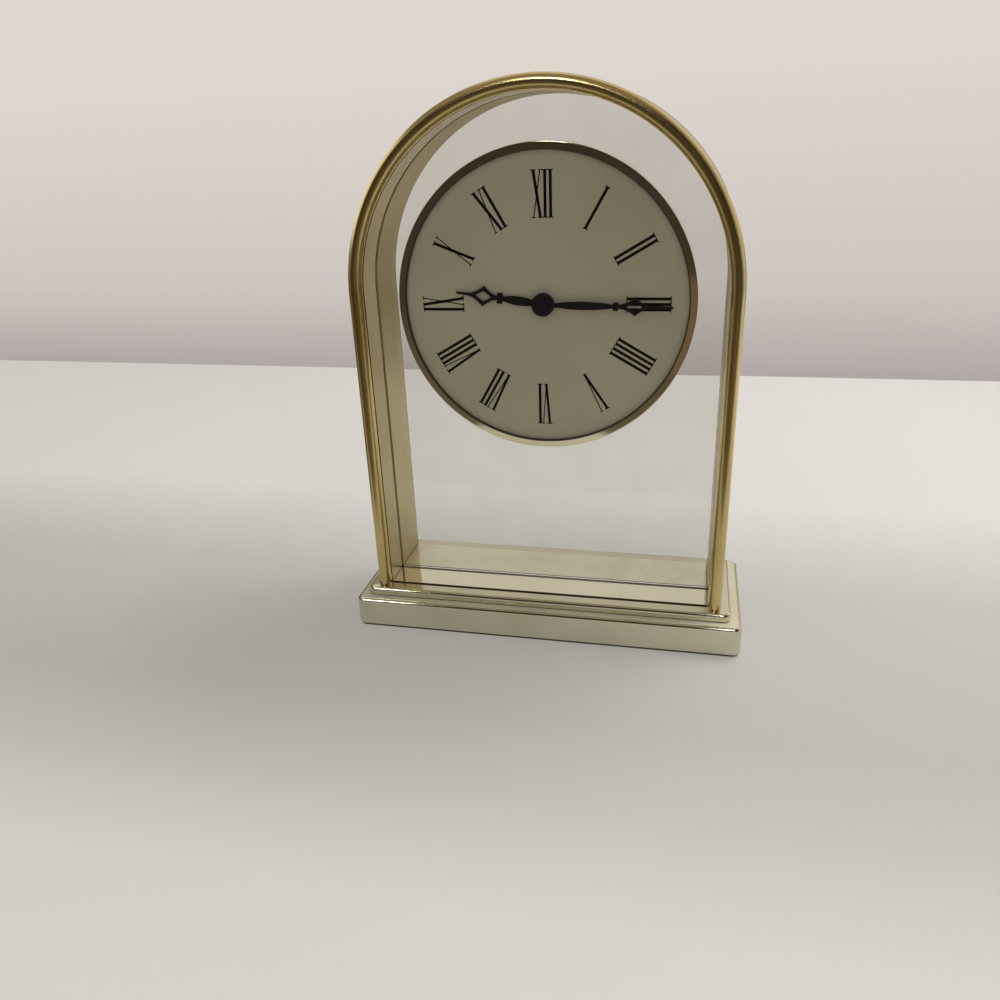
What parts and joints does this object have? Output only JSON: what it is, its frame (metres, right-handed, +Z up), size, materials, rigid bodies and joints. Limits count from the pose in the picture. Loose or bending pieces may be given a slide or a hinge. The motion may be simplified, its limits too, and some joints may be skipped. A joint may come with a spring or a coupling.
{
  "type": "table clock",
  "caption": "Arch-topped brass table clock: round ivory dial floating on a clear glass panel, pierced hands, stepped plinth, quartz movement in a rear drum with a pull-off cover.",
  "frame": {"origin": "centre of the felt pad's underside, on the table", "axes": "+X to the right of the dial as seen from the front, +Y from the dial towards the back, +Z up"},
  "size_m": [0.159, 0.0582, 0.21],
  "materials": {
    "polished_brass": "polished and lacquered",
    "satin_brass": "satin",
    "pale_brass": "polished, pale champagne tone",
    "clear_glass": "clear float glass, polished",
    "ivory_dial": "matt ivory",
    "black_paint": "satin black",
    "black_plastic": "moulded, matt",
    "white_plastic": "moulded, natural",
    "steel": "zinc plated",
    "felt": "pressed wool felt",
    "gasket": "matt",
    "copper_wire": "enamelled copper wire",
    "circuit_board": "green solder resist",
    "magnet": "sintered magnet on a steel arbor",
    "cell_jacket": "plain printed jacket"
  },
  "bodies": {
    "clock_body": {"felt_pad": "felt", "base_plinth": "pale_brass", "base_cover": "steel", "base_weight": "steel", "base_tier": "pale_brass", "floor_front_plate": "pale_brass", "floor_rear_plate": "satin_brass", "column_screw_left": "steel", "column_screw_right": "steel", "weight_screw_left": "steel", "weight_screw_right": "steel", "arch_band": "satin_brass", "arch_front_liner": "polished_brass", "arch_front_moulding": "polished_brass", "arch_rear_moulding": "polished_brass", "glass_panel": "clear_glass", "dial_spacer": "white_plastic", "dial_face": "ivory_dial", "bezel_ring": "polished_brass", "movement_front_case": "black_plastic", "movement_rear_case": "black_plastic", "bearing_plate": "white_plastic", "case_screw_1": "steel", "case_screw_2": "steel", "case_screw_3": "steel", "lock_washer": "steel", "hex_nut": "polished_brass", "stator": "steel", "coil_bobbin": "white_plastic", "coil_winding": "copper_wire", "circuit_board": "circuit_board", "control_chip": "black_plastic", "crystal_can": "steel", "battery": "cell_jacket", "contact_negative": "steel", "contact_positive": "steel", "glass_gasket": "gasket", "rear_drum": "polished_brass"},
    "minute_works": {"centre_arbor": "steel", "minute_hand": "black_paint", "hand_cap": "black_paint"},
    "hour_works": {"hour_wheel": "white_plastic", "hour_hand": "black_paint"},
    "minute_gear": {"minute_wheel": "white_plastic"},
    "setting_gear": {"setting_knob": "black_plastic"},
    "centre_gear": {"centre_wheel": "polished_brass"},
    "third_gear": {"third_wheel": "white_plastic"},
    "seconds_gear": {"seconds_wheel": "white_plastic"},
    "fifth_gear": {"fifth_wheel": "white_plastic"},
    "motor_rotor": {"rotor": "magnet"},
    "back_lid": {"rear_cover": "polished_brass"}
  },
  "joints": [
    {"name": "minute_turn", "type": "hinge", "parent": "clock_body", "child": "minute_works", "pos_m": [0, 0, 0.1338], "axis": [0, 1, 0], "continuous": true},
    {"name": "hour_turn", "type": "hinge", "parent": "clock_body", "child": "hour_works", "pos_m": [0, 0, 0.1338], "axis": [0, 1, 0], "continuous": true},
    {"name": "minute_wheel_turn", "type": "hinge", "parent": "clock_body", "child": "minute_gear", "pos_m": [0.01, 0, 0.1338], "axis": [0, 1, 0], "continuous": true},
    {"name": "knob_turn", "type": "hinge", "parent": "clock_body", "child": "setting_gear", "pos_m": [0.01562, 0, 0.14354], "axis": [0, 1, 0], "continuous": true},
    {"name": "rotor_turn", "type": "hinge", "parent": "clock_body", "child": "motor_rotor", "pos_m": [-0.00833, 0, 0.15636], "axis": [0, 1, 0], "continuous": true},
    {"name": "fifth_wheel_turn", "type": "hinge", "parent": "clock_body", "child": "fifth_gear", "pos_m": [-0.01343, 0, 0.15127], "axis": [0, 1, 0], "continuous": true},
    {"name": "seconds_wheel_turn", "type": "hinge", "parent": "clock_body", "child": "seconds_gear", "pos_m": [-0.0156, 0, 0.14315], "axis": [0, 1, 0], "continuous": true},
    {"name": "third_wheel_turn", "type": "hinge", "parent": "clock_body", "child": "third_gear", "pos_m": [-0.0054, 0, 0.14315], "axis": [0, 1, 0], "continuous": true},
    {"name": "centre_wheel_turn", "type": "hinge", "parent": "clock_body", "child": "centre_gear", "pos_m": [0, 0, 0.1338], "axis": [0, 1, 0], "continuous": true},
    {"name": "cover_pull", "type": "slide", "parent": "clock_body", "child": "back_lid", "axis": [0, 1, 0], "range_m": [0, 0.012]}
  ],
  "couplings": [
    {"joint": "hour_turn", "follows": "minute_turn", "ratio": 0.083333},
    {"joint": "minute_wheel_turn", "follows": "minute_turn", "ratio": -0.33333},
    {"joint": "knob_turn", "follows": "minute_turn", "ratio": 0.66667},
    {"joint": "fifth_wheel_turn", "follows": "rotor_turn", "ratio": -0.2},
    {"joint": "seconds_wheel_turn", "follows": "rotor_turn", "ratio": 0.033333},
    {"joint": "third_wheel_turn", "follows": "rotor_turn", "ratio": -0.0044444},
    {"joint": "centre_wheel_turn", "follows": "rotor_turn", "ratio": 0.00055556}
  ]
}
